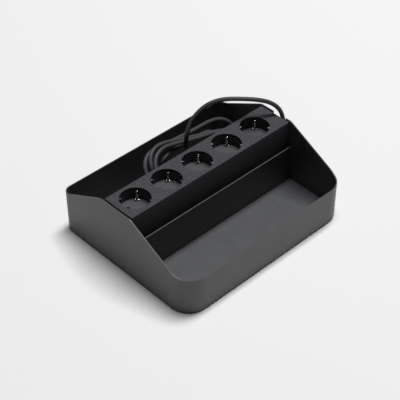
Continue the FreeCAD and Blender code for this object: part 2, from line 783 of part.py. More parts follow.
# Free stretches of the lead, point by point, above the tray's underside
lead_route = [(142.5, 8, 107.5), (131.5, 15, 118), (116.5, 25, 124), (100.5, 38.5, 126), (85, 53, 126),
              (70.5, 64.5, 121), (56.5, 72, 110.5), (44, 75, 96.5), (35, 73, 80.5), (28.5, 67, 63),
              (21, 61.5, 46), (11, 58, 31), (-2, 58.5, 15)]
lead_first_run = 14
tail_route = [(30, 56.8, 10), (10, 56.8, 10), (-9, 56.9, 11.5), (-25, 57.3, 17), (-38, 57.5, 21),
              (-50, 57.5, 21)]


def on_table(points):
    lift = value("foot_height")
    return [Vector(x, y, z + lift) for x, y, z in points]


def make_cord():
    coil = coil_solid()
    diameter = value("cord_diameter")
    tip = gland_tip()
    straight_out = tip + lean_direction() * lead_first_run
    lead = tube([tip, straight_out] + on_table(lead_route), diameter, "cord_lead")
    tail = tube(on_table(tail_route), diameter, "cord_tail")
    feature_of(coil, "cord_coil")
    feature_of(lead.cut(coil), "cord_lead")
    feature_of(tail.cut(coil), "cord_tail")


# Plug (CEE 7/7): its own Z axis runs out along the pins
def plug_placement():
    height = value("plug_grip_radius + sheet_wall + foot_height")
    spot = Vector(value("plug_face_x"), value("plug_middle_y"), height)
    lay_down = Rotation(Vector(0, 1, 0), -90)
    return Placement(spot, lay_down * Rotation(Vector(0, 0, 1), value("plug_turn")))


def make_plug():
    plug = new_body("plug_shape")
    section = sketch_on(plug, "section", "XZ_Plane")
    tip = "cord_diameter / 2 + 0.6"
    loop(section, [
        ("0", "-plug_length", "0"),
        (tip, "-plug_length", "0"),
        ("plug_radius / 3", "-2 * plug_length / 3", "0"),
        ("plug_radius / 2", "-(plug_length / 2 + 4)", "0"),
        ("0.8 * plug_grip_radius", "-plug_length / 2", "0"),
        ("plug_grip_radius", "-(plug_length / 2 - 6)", "0"),
        ("plug_grip_radius", "-plug_nose", "0"),
        ("plug_radius", "-plug_nose", "0"),
        ("plug_radius", "-plug_chamfer", "0"),
        ("plug_radius - plug_chamfer", "0", "0"),
        ("0", "0", "0")])
    revolve(plug, "moulded_body", section)
    grooves = sketch_on(plug, "grooves", "XY_Plane")
    half, reach = "(rib_width / 2 + 0.5)", "(plug_radius - rib_depth - 0.5)"
    edge = "plug_radius + 2"
    rectangle(grooves, reach, edge, f"-{half}", half)
    rectangle(grooves, f"-({edge})", f"-{reach}", f"-{half}", half)
    rectangle(grooves, f"-{half}", half, "clip_nose", edge)
    rectangle(grooves, f"-{half}", half, f"-({edge})", "-clip_nose")
    pocket(plug, "side_grooves", grooves, "plug_nose")
    plug.Placement = plug_placement()
    keep(plug, "plug_body")
    pins, strips = [], []
    for side in (-1, 1):
        spot = Vector(side * value("pin_reach"), 0, 0)
        radius, length = value("plug_pin_radius"), value("plug_pin_length")
        pin = Part.makeCylinder(radius, length, spot)
        rim = [item for item in pin.Edges if item.BoundBox.ZMin > length / 2 and item.Closed
               and item.BoundBox.ZLength < 0.001]
        pins.append(pin.makeChamfer(radius / 2, rim))
        strip_width = value("rib_width")
        thickness = value("clip_sheet")
        low = value("clip_nose") if side > 0 else -value("clip_nose") - thickness
        corner = Vector(-strip_width / 2, low, -value("plug_nose"))
        strips.append(Part.makeBox(strip_width, thickness, value("plug_nose - 1"), corner))
    for label, solids in (("plug_pins", pins), ("plug_earth_strips", strips)):
        group = Part.Compound(solids)
        group.Placement = plug_placement()
        feature_of(group, label)


make_tray()
make_divider()
make_shelf()
make_feet()
make_cover()
make_base()
for number in range(socket_count):
    make_well(number)
for number in range(socket_count):
    make_clip(number)
make_busbar("line_busbar", "")
make_busbar("neutral_busbar", "-")
make_earth_busbar()
make_magnets()
make_screws()
make_gland()
make_cord_end()
make_cores()
make_cord()
make_plug()
doc.recompute()

# Every object has to be sound before a file is written
for item in doc.Objects:
    if "Invalid" in item.State or "Error" in item.State:
        raise RuntimeError(f"{item.Name} is {item.State}")
os.makedirs("parts", exist_ok=True)
for piece in parts:
    shape = piece.Shape
    if shape.isNull() or not shape.isValid() or not shape.Solids:
        raise RuntimeError(f"{piece.Label} has no sound solid")
    shape.exportStep(f"parts/{piece.Label}.step")
    print(piece.Label, len(shape.Solids), round(shape.Volume))
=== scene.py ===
# Steel desk tray with a bar of five mains sockets and the bar's own lead.
# Metres, in the part's own frame: X along the bar, Y to the rear, Z up.
import json
import math

import bmesh
import bpy
from mathutils import Matrix, Vector

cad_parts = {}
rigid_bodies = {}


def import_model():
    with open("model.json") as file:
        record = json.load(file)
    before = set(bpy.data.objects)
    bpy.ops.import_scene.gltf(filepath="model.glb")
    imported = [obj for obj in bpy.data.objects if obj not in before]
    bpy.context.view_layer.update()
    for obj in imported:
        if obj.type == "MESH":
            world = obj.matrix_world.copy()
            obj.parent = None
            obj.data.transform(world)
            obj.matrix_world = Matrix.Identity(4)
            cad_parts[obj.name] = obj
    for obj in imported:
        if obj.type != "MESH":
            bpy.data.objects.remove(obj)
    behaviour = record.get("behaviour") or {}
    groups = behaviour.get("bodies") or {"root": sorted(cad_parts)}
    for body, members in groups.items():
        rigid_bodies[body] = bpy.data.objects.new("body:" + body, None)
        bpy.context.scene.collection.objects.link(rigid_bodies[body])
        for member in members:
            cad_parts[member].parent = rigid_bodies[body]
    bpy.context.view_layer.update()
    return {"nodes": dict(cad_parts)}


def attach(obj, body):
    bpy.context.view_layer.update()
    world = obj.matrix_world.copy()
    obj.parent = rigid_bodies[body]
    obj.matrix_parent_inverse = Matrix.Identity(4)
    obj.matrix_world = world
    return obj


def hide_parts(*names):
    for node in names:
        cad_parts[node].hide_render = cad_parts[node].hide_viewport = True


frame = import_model()
nodes = frame["nodes"]
mm = 0.001
sheet = 1.5
footHeight = 1.5
# Sides of the large round forms and of the small holes
roundSides, holeSides = 128, 48
# Degrees: edges flatter than this are shaded smooth
smoothAngle = 35
print("frame loaded:", len(nodes), "nodes")


# A place in millimetres above the tray's underside, in metres above the table
def spot(x, y, z):
    return Vector((x, y, z + footHeight)) * mm


# Selection and modifiers, as by hand
def only(*things):
    for other in bpy.context.view_layer.objects:
        other.select_set(False)
    for thing in things:
        thing.select_set(True)
        bpy.context.view_layer.objects.active = thing


def named(name):
    piece = bpy.context.object
    piece.name = piece.data.name = name
    only(piece)
    bpy.ops.object.transform_apply(location=True, rotation=True, scale=True)
    return piece


def block(name, low, high):
    only()
    bpy.ops.mesh.primitive_cube_add(size=1, location=(low + high) / 2)
    bpy.context.object.scale = high - low
    return named(name)


def rod(name, foot, radius, height, sides, axis=(0, 0, 1)):
    only()
    axis = Vector(axis)
    turn = Vector((0, 0, 1)).rotation_difference(axis).to_euler()
    bpy.ops.mesh.primitive_cylinder_add(vertices=sides, radius=radius, depth=height,
                                        location=foot + axis * height / 2, rotation=turn)
    return named(name)


def edit(piece):
    only(piece)
    bpy.ops.object.mode_set(mode="EDIT")


def done():
    bpy.ops.object.mode_set(mode="OBJECT")


# In edit mode: selects only what passes the test, and says whether anything did
def pick(piece, kind, wanted):
    bpy.ops.mesh.select_mode(type=kind)
    bpy.ops.mesh.select_all(action="DESELECT")
    mesh = bmesh.from_edit_mesh(piece.data)
    found = [part for part in {"VERT": mesh.verts, "EDGE": mesh.edges, "FACE": mesh.faces}[kind]
             if wanted(part)]
    for part in found:
        part.select_set(True)
    mesh.select_flush_mode()
    bmesh.update_edit_mesh(piece.data)
    return bool(found)


def near(one, two, slack=2e-6):
    return abs(one - two) < slack


def upright(edge):
    one, two = (vertex.co for vertex in edge.verts)
    return near(one.x, two.x) and near(one.y, two.y)


def level(edge, height):
    return all(near(vertex.co.z, height) for vertex in edge.verts)


# An edge at which two faces turn by more than a radian
def sharp(edge):
    return len(edge.link_faces) == 2 and edge.calc_face_angle(0) > 1


def bevelPicked(piece, wanted, width, segments):
    if pick(piece, "EDGE", wanted):
        bpy.ops.mesh.bevel(offset=width, segments=segments, affect="EDGES", clamp_overlap=True)


def push(move):
    bpy.ops.mesh.extrude_region_move(TRANSFORM_OT_translate={"value": tuple(move)})


def modify(piece, kind, **settings):
    only(piece)
    modifier = piece.modifiers.new(kind.lower(), kind)
    for setting, value in settings.items():
        setattr(modifier, setting, value)
    bpy.ops.object.modifier_apply(modifier=modifier.name)


def carve(piece, tool, operation="DIFFERENCE"):
    modify(piece, "BOOLEAN", object=tool, operation=operation, solver="EXACT")
    bpy.data.objects.remove(tool)


def join(name, *pieces):
    only(*pieces)
    bpy.ops.object.join()
    return named(name)


def copyOf(piece, name, turn, move):
    copy = piece.copy()
    copy.data = piece.data.copy()
    copy.name = copy.data.name = name
    bpy.context.scene.collection.objects.link(copy)
    copy.matrix_world = Matrix.Translation(move) @ Matrix.Rotation(turn, 4, "Z")
    only(copy)
    bpy.ops.object.transform_apply(location=True, rotation=True, scale=True)
    return copy


def softEdges(piece, width, angle=50):
    modify(piece, "BEVEL", width=width, segments=2, limit_method="ANGLE",
           angle_limit=math.radians(angle), harden_normals=False)


# Shading, finish, body, slot and the node that the piece stands for
def dress(piece, material, replaced):
    only(piece)
    bpy.ops.object.shade_smooth_by_angle(angle=math.radians(smoothAngle))
    modify(piece, "WEIGHTED_NORMAL", weight=60, keep_sharp=True)
    piece.data.materials.clear()
    piece.data.materials.append(material)
    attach(piece, "root")
    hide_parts(replaced)


# Points of a line through corners, each corner with its rounding
def roundedLine(corners, stepAngle):
    points = [Vector(corners[0][:2])]
    for before, (y, z, radius), after in zip(corners, corners[1:], corners[2:]):
        corner = Vector((y, z))
        wayIn = (corner - Vector(before[:2])).normalized()
        wayOut = (Vector(after[:2]) - corner).normalized()
        turn = wayIn.angle(wayOut)
        bow = (wayOut - wayIn).normalized()
        centre = corner + bow * radius / math.cos(turn / 2)
        steps = max(2, round(math.degrees(turn) / stepAngle))
        side = 1 if wayIn.cross(wayOut) > 0 else -1
        start = corner - wayIn * radius * math.tan(turn / 2) - centre
        for step in range(steps + 1):
            points.append(centre + Matrix.Rotation(side * turn * step / steps, 2) @ start)
    return points + [Vector(corners[-1][:2])]


def heightAlong(line, y):
    for one, two in zip(line, line[1:]):
        if one.x <= y <= two.x:
            return one.y + (two.y - one.y) * (y - one.x) / max(two.x - one.x, 1e-9)
    return line[-1].y


# Shader nodes written as expressions
class Socket:
    def __init__(self, shop, link):
        self.shop, self.link = shop, link

    def __add__(self, other):
        return self.shop.sum("ADD", self, other)

    def __sub__(self, other):
        return self.shop.sum("SUBTRACT", self, other)

    def __mul__(self, other):
        return self.shop.sum("MULTIPLY", self, other)

    __radd__ = __add__


class Finish:
    def __init__(self, name):
        self.material = bpy.data.materials.new(name)
        self.material.use_nodes = True
        self.tree = self.material.node_tree
        self.shader = self.tree.nodes["Principled BSDF"]

    def fill(self, socket, value):
        if isinstance(value, Socket):
            self.tree.links.new(value.link, socket)
        elif hasattr(socket.default_value, "__len__"):
            socket.default_value = (*value, 1)
        else:
            socket.default_value = value

    # One node: its settings first, then its inputs by number (i0) or name
    def node(self, kind, settings=None, output=0, **inputs):
        made = self.tree.nodes.new("ShaderNode" + kind)
        for setting, value in (settings or {}).items():
            setattr(made, setting, value)
        for key, value in inputs.items():
            self.fill(made.inputs[int(key[1:]) if key[1:].isdigit() else key], value)
        return Socket(self, made.outputs[output])

    def sum(self, operation, one, two):
        return self.node("Math", {"operation": operation}, i0=one, i1=two)

    def place(self):
        return self.node("TexCoord", output="Object")

    def noise(self, scale, detail, roughness, where):
        return self.node("TexNoise", {"noise_dimensions": "3D"}, Vector=where, Scale=scale,
                         Detail=detail, Roughness=roughness)

    # Black up to the first place and white from the second on
    def ramp(self, value, dark, light):
        made = self.node("ValToRGB", i0=value)
        for element, place in zip(made.link.node.color_ramp.elements, (dark, light)):
            element.position = place
        return made

    # The Mix node's colours are inputs 6 and 7 and output 2
    def blend(self, factor, one, two):
        return self.node("Mix", {"data_type": "RGBA"}, output=2, i0=factor, i6=one, i7=two)

    def bump(self, height, distance):
        self.set(Normal=self.node("Bump", Strength=1, Distance=distance, Height=height))

    def set(self, **values):
        for name, value in values.items():
            self.fill(self.shader.inputs[name.replace("_", " ")], value)


# Camera: the photograph's angle and distance
cameraSetup = {
    "place": (-0.78471, -0.80849, 1.01087),
    "azimuth": -43.78,
    "elevation": 40.91,
    "lens": 102.23,
    "sensor": 36,
}


def aimed(name, data, place, way):
    thing = bpy.data.objects.new(name, data)
    thing.location = place
    thing.rotation_euler = Vector(way).to_track_quat("-Z", "Y").to_euler()
    bpy.context.scene.collection.objects.link(thing)
    return thing


def makeCamera(setup):
    azimuth, elevation = math.radians(setup["azimuth"]), math.radians(setup["elevation"])
    back = Vector((math.sin(azimuth) * math.cos(elevation),
                   -math.cos(azimuth) * math.cos(elevation), math.sin(elevation)))
    data = bpy.data.cameras.new("camera")
    data.lens = setup["lens"]
    data.sensor_width = setup["sensor"]
    data.clip_start, data.clip_end = 0.05, 20
    bpy.context.scene.camera = aimed("camera", data, setup["place"], -back)


makeCamera(cameraSetup)
print("camera placed")


# Finishes. A noise is its scale, detail and roughness; a ramp is where it leaves black and
# reaches white; a gain multiplies the colour at one end of a noise. Bumps are in millimetres
powderCoat = {
    "base": (0.042, 0.0432, 0.0467), "roughness": 0.45, "specular": 0.66, "bump": 0.02,
    "grain": (3200, 3, 0.6), "grainRamp": (0.4, 0.66), "grainGain": 1.4, "grainShare": 0.45,
    "mottle": (520, 2, 0.6), "mottleRamp": (0.38, 0.62), "mottleGain": 1.5, "mottleShare": 0.75,
    "cloud": (26, 3, 0.55), "cloudRamp": (0.32, 0.7), "cloudGain": 0.9,
    "cloudRoughness": 0.1, "grainRoughness": 0.16,
}
barPlastic = {
    "base": (0.053, 0.0538, 0.0592), "roughness": 0.5, "specular": 0.1, "bump": 0.03,
    "grain": (2300, 2, 0.55), "speckle": (520, 2, 0.5), "speckleShare": 0.65,
    "ramp": (0.4, 0.6), "gains": (0.7, 1.38), "heightRoughness": 0.22,
}
# Wells: the walls' near-black colour is painted shade; the floor keeps the bar's own plastic
# colour
wellPlastic = {
    "wall": (0.006, 0.006, 0.0065), "paintedShadeWallGains": (0.8, 1.2), "floor": barPlastic["base"],
    "floorGains": (0.85, 1.15), "floorHeight": 80.4, "grain": (920, 2, 0.55), "bump": 0.004,
    "roughness": 0.17, "floorRoughness": 0.3, "grainRoughness": 0.06,
}
plain = {
    "grainDetail": (3, 0.5), "cloud": (60, 2, 0.5), "grainRoughness": 0.12, "cloudRoughness": 0.08,
}


def makePowderCoat(name, setup):
    finish = Finish(name)
    where = finish.place()
    grain = finish.noise(*setup["grain"], where)
    mottle = finish.noise(*setup["mottle"], where)
    cloud = finish.noise(*setup["cloud"], where)
    base = Vector(setup["base"])
    shade = finish.blend(finish.ramp(cloud, *setup["cloudRamp"]), base * setup["cloudGain"], base)
    shade = finish.blend(finish.ramp(mottle, *setup["mottleRamp"]) * setup["mottleShare"],
                         shade, base * setup["mottleGain"])
    speck = finish.ramp(grain, *setup["grainRamp"])
    roughness = (setup["roughness"] + (cloud - 0.5) * setup["cloudRoughness"]
                 + (grain - 0.5) * setup["grainRoughness"])
    finish.set(Base_Color=finish.blend(speck * setup["grainShare"], shade,
                                       base * setup["grainGain"]),
               Roughness=roughness, Specular_IOR_Level=setup["specular"])
    finish.bump(grain, setup["bump"] * mm)
    return finish.material


def makeBarPlastic(name, setup):
    finish = Finish(name)
    where = finish.place()
    grain = finish.noise(*setup["grain"], where)
    speckle = finish.noise(*setup["speckle"], where)
    height = grain * (1 - setup["speckleShare"]) + speckle * setup["speckleShare"]
    dark, light = (Vector(setup["base"]) * gain for gain in setup["gains"])
    finish.set(Base_Color=finish.blend(finish.ramp(height, *setup["ramp"]), dark, light),
               Roughness=setup["roughness"] + (height - 0.5) * setup["heightRoughness"],
               Specular_IOR_Level=setup["specular"])
    finish.bump(height, setup["bump"] * mm)
    return finish.material


# The wells: one plastic, with the bar's colour on the floor; the walls above the floor height are
# glossier and get a near-black colour, which is painted shade
def makeWellPlastic(name, setup):
    finish = Finish(name)
    where = finish.place()
    grain = finish.noise(*setup["grain"], where)
    # Painted shade: everything above the floor height (walls, ribs, rim) gets a near-black copy of
    # the plastic's colour
    height = finish.node("SeparateXYZ", output="Z", i0=where)
    onFloor = finish.sum("LESS_THAN", height, setup["floorHeight"] * mm)
    floor = finish.blend(grain, *(Vector(setup["floor"]) * gain for gain in setup["floorGains"]))
    wall = finish.blend(grain, *(Vector(setup["wall"]) * gain for gain in setup["paintedShadeWallGains"]))
    finish.set(Base_Color=finish.blend(onFloor, wall, floor),
               Roughness=setup["roughness"] + onFloor * setup["floorRoughness"]
               + (grain - 0.5) * setup["grainRoughness"])
    finish.bump(grain, setup["bump"] * mm)
    return finish.material


# One even finish: its colour spreads a little either way, in slow clouds
def makePlain(name, base, roughness, grain=900, spread=0.15, bump=0.01, metallic=0, specular=0.5):
    finish = Finish(name)
    where = finish.place()
    noise = finish.noise(grain, *plain["grainDetail"], where)
    cloud = finish.noise(*plain["cloud"], where)
    dark, light = (Vector(base) * gain for gain in (1 - spread, 1 + spread))
    finish.set(Base_Color=finish.blend(cloud, dark, light),
               Roughness=roughness + (noise - 0.5) * plain["grainRoughness"]
               + (cloud - 0.5) * plain["cloudRoughness"],
               Metallic=metallic, Specular_IOR_Level=specular)
    finish.bump(noise, bump * mm)
    return finish.material


coat = makePowderCoat("powder_coat", powderCoat)
shellPlastic = makeBarPlastic("bar_plastic", barPlastic)
# Socket wells: glossier walls, with painted shade on them
glossWithPaintedShade = makeWellPlastic("socket_plastic", wellPlastic)
sheath = makePlain("cord_sheath", (0.052, 0.052, 0.0565), 0.45, 1400, 0.12, specular=0.2)
nickel = makePlain("nickel_plate", (0.6, 0.59, 0.57), 0.24, 700, 0.06, 0.003, 1)
brass = makePlain("brass", (0.66, 0.47, 0.2), 0.28, 700, 0.08, 0.003, 1)
zinc = makePlain("zinc_steel", (0.58, 0.6, 0.62), 0.34, 600, 0.1, 0.006, 1)
softRubber = makePlain("gland_rubber", (0.014, 0.014, 0.0145), 0.55, 1600, bump=0.02)
footRubber = makePlain("foot_rubber", (0.02, 0.02, 0.021), 0.62, 1600, bump=0.02)
plugPlastic = makePlain("plug_plastic", (0.02, 0.02, 0.0205), 0.4, 1500, 0.12, 0.02)
cores = {"line_wire": makePlain("line_insulation", (0.13, 0.05, 0.02), 0.4),
         "neutral_wire": makePlain("neutral_insulation", (0.03, 0.12, 0.4), 0.4),
         "earth_wire": makePlain("earth_insulation", (0.32, 0.42, 0.03), 0.4)}
print("finishes made")


# Lead: one smooth line from the gland through the coil to the plug
lead = {
    "diameter": 6,
    "tip": (148, 0.9, 79.7),
    "route": [(148, 3.5, 93.5), (142.5, 8, 107.5), (131.5, 15, 118), (116.5, 25, 124),
              (100.5, 38.5, 126), (85, 53, 126), (70.5, 64.5, 121), (56.5, 72, 110.5),
              (44, 75, 96.5), (35, 73, 80.5), (35.7, 76.3, 58), (37.8, 61.8, 37.7),
              (23.7, 47.6, 26.1), (2.6, 44.3, 24.3)],
    "tail": [(49.7, 47.3, 4.4), (16.6, 42.8, 7), (-2.8, 53.1, 8.8), (-13.3, 56.5, 11.7),
             (-25, 57.2, 17), (-38, 57.5, 21), (-50, 57.5, 21)],
}

# Each turn: its middle along X and up the slope, half its length and width; then how its top
# strand slumps to the right, bows and waves, how it rolls in its plane, its lift and its tilt
coil = {
    "middle": (53, 81, 31), "lean": 41, "pointsPerTurn": 20, "skipped": 3,
    "turns": [
        {"middle": (-6.6, -7.6), "half": (69.1, 29.3), "slump": 2.7, "bow": -1.1, "wave": -1.7,
         "roll": -7.1, "lift": 17.4, "tilt": -2.6},
        {"middle": (2, -5.2), "half": (78.4, 30), "slump": 0.7, "bow": -1.8, "wave": -0.1,
         "roll": -14.1, "lift": 10.5, "tilt": -2.8},
        {"middle": (2.2, 2.4), "half": (84.6, 31.7), "slump": -0.2, "bow": -3.8, "wave": 0.3,
         "roll": -3.2, "lift": 3.9, "tilt": -2.7},
        {"middle": (3.7, -7.5), "half": (58.9, 28.3), "slump": -0.8, "bow": 0.1, "wave": 0.3,
         "roll": -0.4, "lift": -2.8, "tilt": -2}],
}


# A place on a long loop with round ends, by its share of the way round from the middle below
def onLoop(share, long, wide):
    straight, arc = long - wide, math.pi * wide
    way = share * (4 * straight + 2 * arc)
    if way < straight:
        return Vector((-way, -wide))
    if way < straight + arc:
        angle = (way - straight) / wide
        return Vector((-straight - wide * math.sin(angle), -wide * math.cos(angle)))
    if way < 3 * straight + arc:
        return Vector((way - 2 * straight - arc, wide))
    if way < 3 * straight + 2 * arc:
        angle = (way - 3 * straight - arc) / wide
        return Vector((straight + wide * math.sin(angle), wide * math.cos(angle)))
    return Vector((4 * straight + 2 * arc - way, -wide))


def coilPoints(setup):
    lean, count = math.radians(setup["lean"]), setup["pointsPerTurn"]
    upSlope = Vector((0, math.cos(lean), math.sin(lean)))
    outwards = Vector((0, -math.sin(lean), math.cos(lean)))
    points = []
    for number in range(setup["skipped"], count * len(setup["turns"])):
        turn = setup["turns"][number // count]
        long, wide = turn["half"]
        flat = onLoop((number % count + 0.5) / count, long, wide)
        across, rise = flat.x / long, flat.y / wide
        flat.y -= turn["slump"] * across * (1 + rise) / 2
        bow = turn["bow"] * (1 - across ** 2) + turn["wave"] * math.sin(math.pi * across)
        flat.y += bow * max(flat.y / wide, 0)
        flat = Matrix.Rotation(math.radians(turn["roll"]), 2) @ flat + Vector(turn["middle"])
        points.append(Vector(setup["middle"]) + Vector((flat.x, 0, 0)) + upSlope * flat.y
                      + outwards * (turn["lift"] + turn["tilt"] * across))
    return points


def makeLead(setup):
    points = [Vector(setup["tip"])] + [Vector(place) for place in setup["route"]]
    points += coilPoints(coil) + [Vector(place) for place in setup["tail"]]
    points = [spot(*place) for place in points]
    curve = bpy.data.curves.new("lead", "CURVE")
    curve.dimensions = "3D"
    curve.bevel_depth = setup["diameter"] / 2 * mm
    curve.bevel_resolution = 6
    curve.resolution_u = 8
    curve.use_fill_caps = True
    spline = curve.splines.new("NURBS")
    spline.points.add(len(points) - 1)
    for control, place in zip(spline.points, points):
        control.co = (*place, 1)
    spline.order_u = 3
    spline.use_endpoint_u = True
    cord = bpy.data.objects.new("lead", curve)
    bpy.context.scene.collection.objects.link(cord)
    curve.materials.append(sheath)
    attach(cord, "root")
    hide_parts("cord_lead", "cord_coil", "cord_tail")


makeLead(lead)
print("lead laid")


# Tray: folded sheet with welded corners
tray = {
    "length": 286, "depth": 236, "ridge": 97,
    "frontCorner": 30, "frontSteps": 20, "rearCorner": 12, "rearSteps": 12, "bottomRound": 1,
    # y, z and rounding of the side walls' top line
    "topLine": [(-140, 54, 0), (-98, 54, 45), (-16.5, 97, 14), (38.5, 97, 14), (107, 62, 24),
                (140, 62, 0)],
    "topStepAngle": 3,
    "notch": {"front": -7.2, "rear": 15.3, "bottom": 56.5, "round": 6, "mouth": 1, "reach": 12},
    "edge": 0.3,
}


def makeTray(setup):
    halfX, halfY, top = setup["length"] / 2, setup["depth"] / 2, setup["ridge"]
    piece = block("tray_shell", spot(-halfX, -halfY, 0), spot(halfX, halfY, top))
    edit(piece)
    for end, corner in ((-halfY, "front"), (halfY, "rear")):
        bevelPicked(piece, lambda edge: upright(edge) and near(edge.verts[0].co.y, end * mm) and
                    near(abs(edge.verts[0].co.x), halfX * mm),
                    setup[corner + "Corner"] * mm, setup[corner + "Steps"])
    topHeight = spot(0, 0, top).z
    pick(piece, "FACE", lambda face: face.normal.z > 0.9)
    bpy.ops.mesh.delete(type="FACE")
    line = roundedLine(setup["topLine"], setup["topStepAngle"])
    for y in [point.x for point in line if abs(point.x) < halfY]:
        pick(piece, "FACE", lambda face: True)
        bpy.ops.mesh.bisect(plane_co=(0, y * mm, 0), plane_no=(0, 1, 0))
    mesh = bmesh.from_edit_mesh(piece.data)
    rows = {round(vertex.co.y, 6) for vertex in mesh.verts if near(vertex.co.z, topHeight)}
    for y in sorted(rows):
        drop = (heightAlong(line, y / mm) - top) * mm
        pick(piece, "VERT", lambda vertex: near(vertex.co.z, topHeight) and near(vertex.co.y, y))
        if drop < -1e-9:
            bpy.ops.transform.translate(value=(0, 0, drop))
    done()
    modify(piece, "SOLIDIFY", thickness=sheet * mm, offset=-1, use_even_offset=True)
    edit(piece)
    bevelPicked(piece, lambda edge: level(edge, spot(0, 0, 0).z) and sharp(edge),
                setup["bottomRound"] * mm, 3)
    done()
    notch = setup["notch"]
    tool = block("notch_tool", spot(halfX - notch["reach"], notch["front"], notch["bottom"]),
                 spot(halfX + notch["reach"], notch["rear"], top + notch["reach"]))
    edit(tool)
    bevelPicked(tool, lambda edge: level(edge, spot(0, 0, notch["bottom"]).z) and
                near(edge.verts[0].co.y, edge.verts[1].co.y), notch["round"] * mm, 8)
    done()
    carve(piece, tool)
    edit(piece)
    sides = [notch["front"] * mm, notch["rear"] * mm]
    bevelPicked(piece, lambda edge: level(edge, topHeight) and edge.verts[0].co.x > 0 and
                any(near(edge.verts[0].co.y, y) and near(edge.verts[1].co.y, y) for y in sides),
                notch["mouth"] * mm, 6)
    done()
    softEdges(piece, setup["edge"] * mm)
    dress(piece, coat, "tray")


makeTray(tray)
print("tray folded")

# Divider: upright sheet with a flange under the shelf
divider = {"front": -21.2, "top": 57.8, "flange": 14, "bendInside": 1.2, "edge": 0.35}


def makeDivider(setup):
    half, front = tray["length"] / 2 - sheet, setup["front"]
    piece = block("divider_sheet", spot(-half, front, sheet),
                  spot(half, front + sheet, setup["top"]))
    edit(piece)
    pick(piece, "FACE", lambda face: True)
    bpy.ops.mesh.bisect(plane_co=spot(0, 0, 2 * sheet), plane_no=(0, 0, 1))
    pick(piece, "FACE", lambda face: face.normal.y > 0.9 and
         face.calc_center_median().z < spot(0, 0, 2 * sheet).z)
    push((0, (setup["flange"] - sheet) * mm, 0))
    bevelPicked(piece, lambda edge: level(edge, spot(0, 0, 2 * sheet).z) and
                all(near(vertex.co.y, (front + sheet) * mm) for vertex in edge.verts),
                setup["bendInside"] * mm, 4)
    bevelPicked(piece, lambda edge: level(edge, spot(0, 0, sheet).z) and
                all(near(vertex.co.y, front * mm) for vertex in edge.verts),
                (setup["bendInside"] + sheet) * mm, 6)
    done()
    softEdges(piece, setup["edge"] * mm)
    dress(piece, coat, "divider_panel")


makeDivider(divider)
print("divider stood")

# Socket bar's cover: a shell, open below, with five mouths and the cord's hole in its right end
bar = {
    "length": 280, "width": 51, "middle": 10.2, "top": 96.2, "cover": 38,
    "corner": 1.4, "topRound": 0.7, "wall": 2, "topPlate": 2.4, "edge": 0.15,
    "sockets": [-110.6 + 52.7 * number for number in range(5)],
    "mouth": 20.3, "mouthDepth": 8, "endGap": 1.4,
    "exit": {"y": -12.2, "drop": 31.2, "radius": 4.6, "depth": 8},
    "toolLength": 20,
}


def makeCover(setup):
    halfX, halfY = setup["length"] / 2, setup["width"] / 2
    middle, top = setup["middle"], setup["top"]
    piece = block("cover_shell",
                  spot(setup["endGap"] - halfX, middle - halfY, top - setup["cover"]),
                  spot(halfX, middle + halfY, top))
    edit(piece)
    bevelPicked(piece, upright, setup["corner"] * mm, 6)
    pick(piece, "FACE", lambda face: face.normal.z < -0.9)
    bpy.ops.mesh.delete(type="FACE")
    done()
    modify(piece, "SOLIDIFY", thickness=setup["wall"] * mm, offset=-1, use_even_offset=True)
    edit(piece)
    bevelPicked(piece, lambda edge: level(edge, spot(0, 0, top).z) and sharp(edge),
                setup["topRound"] * mm, 3)
    done()
    for x in setup["sockets"]:
        carve(piece, rod("mouth_tool", spot(x, middle, top - setup["mouthDepth"]),
                         setup["mouth"] * mm, setup["toolLength"] * mm, roundSides))
    hole = setup["exit"]
    carve(piece, rod("exit_tool",
                     spot(halfX - hole["depth"], middle + hole["y"], top - hole["drop"]),
                     hole["radius"] * mm, setup["toolLength"] * mm, holeSides, (1, 0, 0)))
    softEdges(piece, setup["edge"] * mm, 60)
    dress(piece, shellPlastic, "bar_cover")


makeCover(bar)
print("bar covered")

# Socket wells: one is modelled about its own middle, down from the bar's top, and copied
well = {
    "inner": 19.8, "wall": 1.6, "depth": 17.5, "floor": 2.5, "collar": 23.2,
    "collarThickness": 1.5, "fillet": 0.8, "pinReach": 9.5, "pinHole": 2.75, "edge": 0.12,
    "ribDepth": 2.3, "ribWidth": 5.5, "ribTop": 0.8, "ribRound": 2.4, "ribSideRound": 0.4,
    "ribSink": 0.1, "ribFoot": 1, "clipReach": 18.9, "clipWidth": 7, "slotGap": 0.2,
    "slotDepth": 1.6, "slotTop": 2, "toolDrop": 5, "toolLength": 10, "turn": -47,
}


